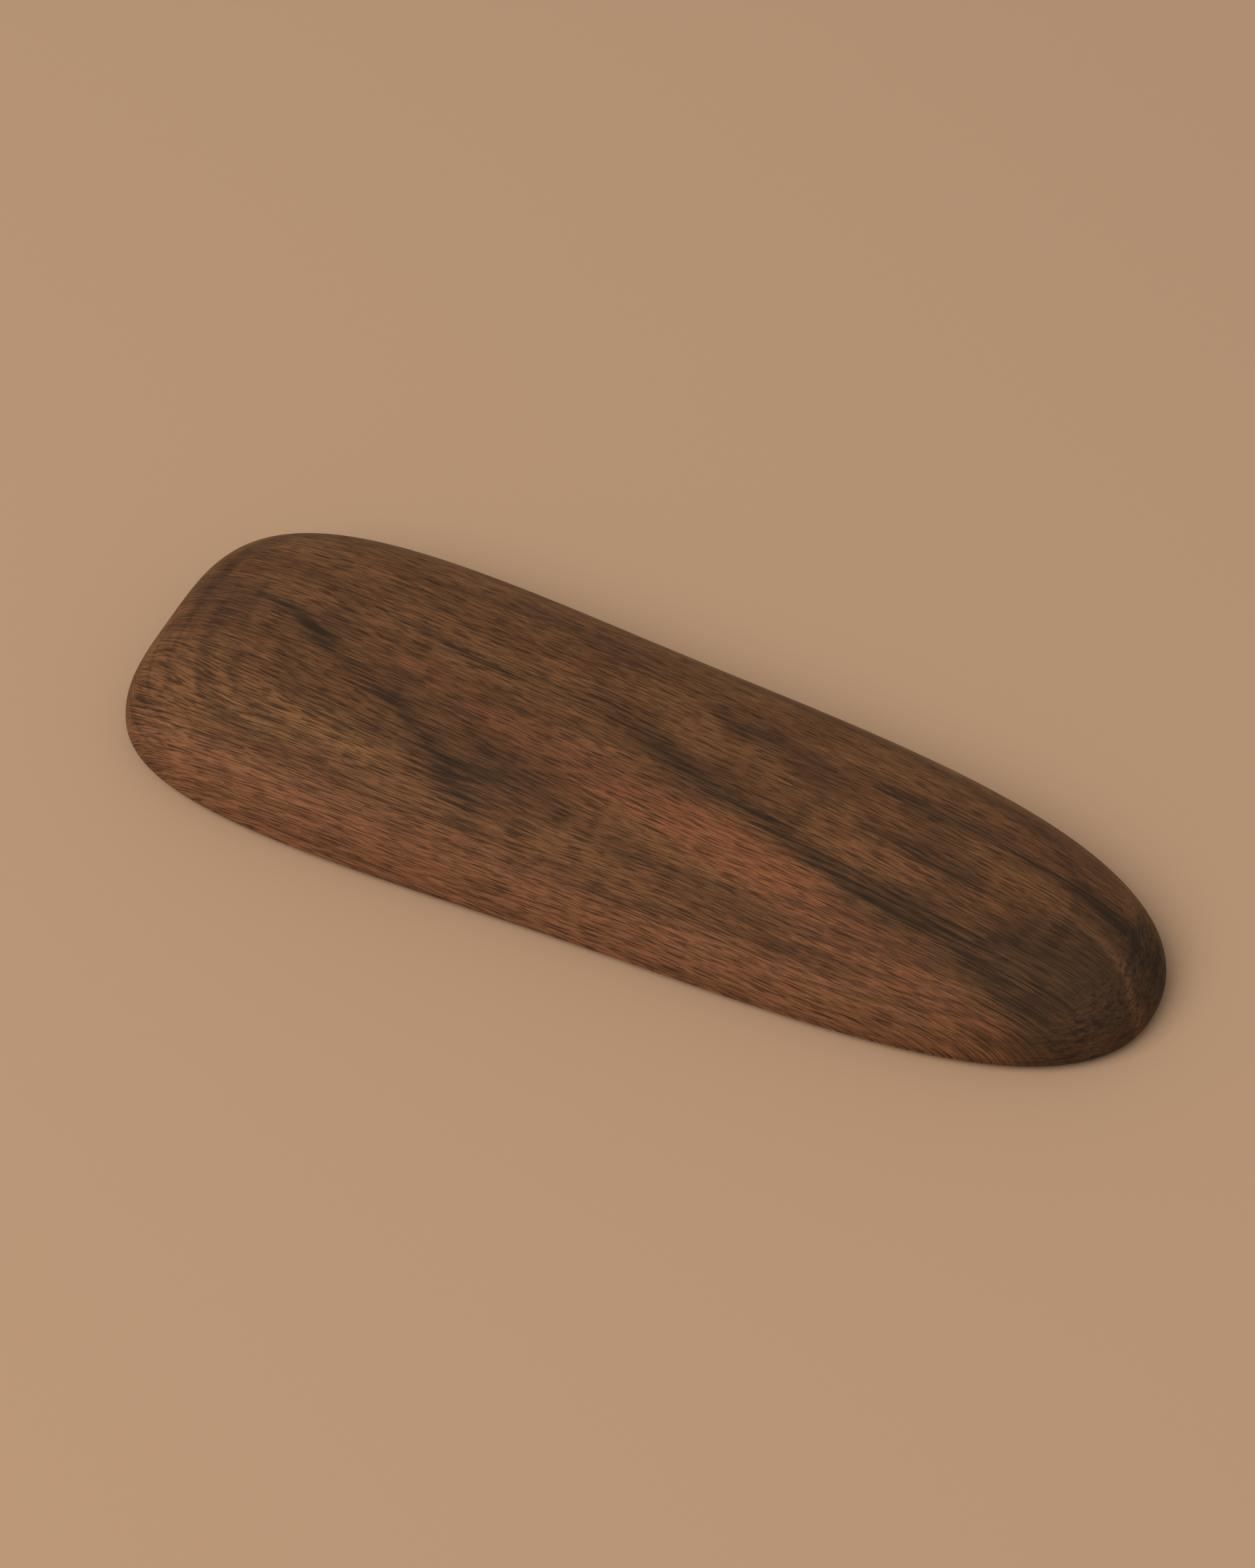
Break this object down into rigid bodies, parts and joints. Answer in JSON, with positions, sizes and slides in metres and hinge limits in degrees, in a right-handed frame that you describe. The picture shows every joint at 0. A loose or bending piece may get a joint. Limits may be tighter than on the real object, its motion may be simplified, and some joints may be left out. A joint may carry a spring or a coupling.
{
  "type": "hair barrette",
  "caption": "Carved walnut barrette: a long tapered dome with a hollowed back that holds a hinged metal clip with a pinch catch.",
  "frame": {"origin": "middle of the bounding box in plan, on the plane of the rim that the barrette rests on", "axes": "+X along the length to the narrow end, +Y across the width, +Z out of the domed face"},
  "size_m": [0.1, 0.034, 0.0118],
  "materials": {
    "walnut": "oiled, satin",
    "nickel_plate": "bright plate over stamped steel",
    "spring_steel": "tumbled spring steel",
    "brass": "turned brass"
  },
  "bodies": {
    "back": {"walnut_body": "walnut", "base_bar": "nickel_plate", "hinge_pin": "nickel_plate", "catch_saddle": "spring_steel", "catch_rivet": "nickel_plate", "screw_hinge_end": "brass", "screw_catch_end": "brass"},
    "arm": {"clasp_arm": "nickel_plate"},
    "wing_left": {"catch_wing_left": "spring_steel"},
    "wing_right": {"catch_wing_right": "spring_steel"},
    "tension": {"tension_bar": "spring_steel"}
  },
  "joints": [
    {"name": "arm_hinge", "type": "hinge", "parent": "back", "child": "arm", "pos_m": [0.0295, 0, 0.0032], "axis": [0, -1, 0], "range_deg": [0, 105]},
    {"name": "pinch_left", "type": "hinge", "parent": "back", "child": "wing_left", "pos_m": [-0.034, 0.00235, 0.00597], "axis": [-1, 0, 0], "range_deg": [0, 9], "stiffness_Nm_per_rad": 0.02},
    {"name": "pinch_right", "type": "hinge", "parent": "back", "child": "wing_right", "pos_m": [-0.034, -0.00235, 0.00597], "axis": [-1, 0, 0], "range_deg": [-9, 0], "stiffness_Nm_per_rad": 0.02},
    {"name": "tension_press", "type": "hinge", "parent": "back", "child": "tension", "pos_m": [0.0205, 0, 0.00695], "axis": [0, 1, 0], "range_deg": [0, 1.5], "stiffness_Nm_per_rad": 0.5}
  ],
  "couplings": [
    {"joint": "pinch_right", "follows": "pinch_left", "ratio": -1}
  ]
}
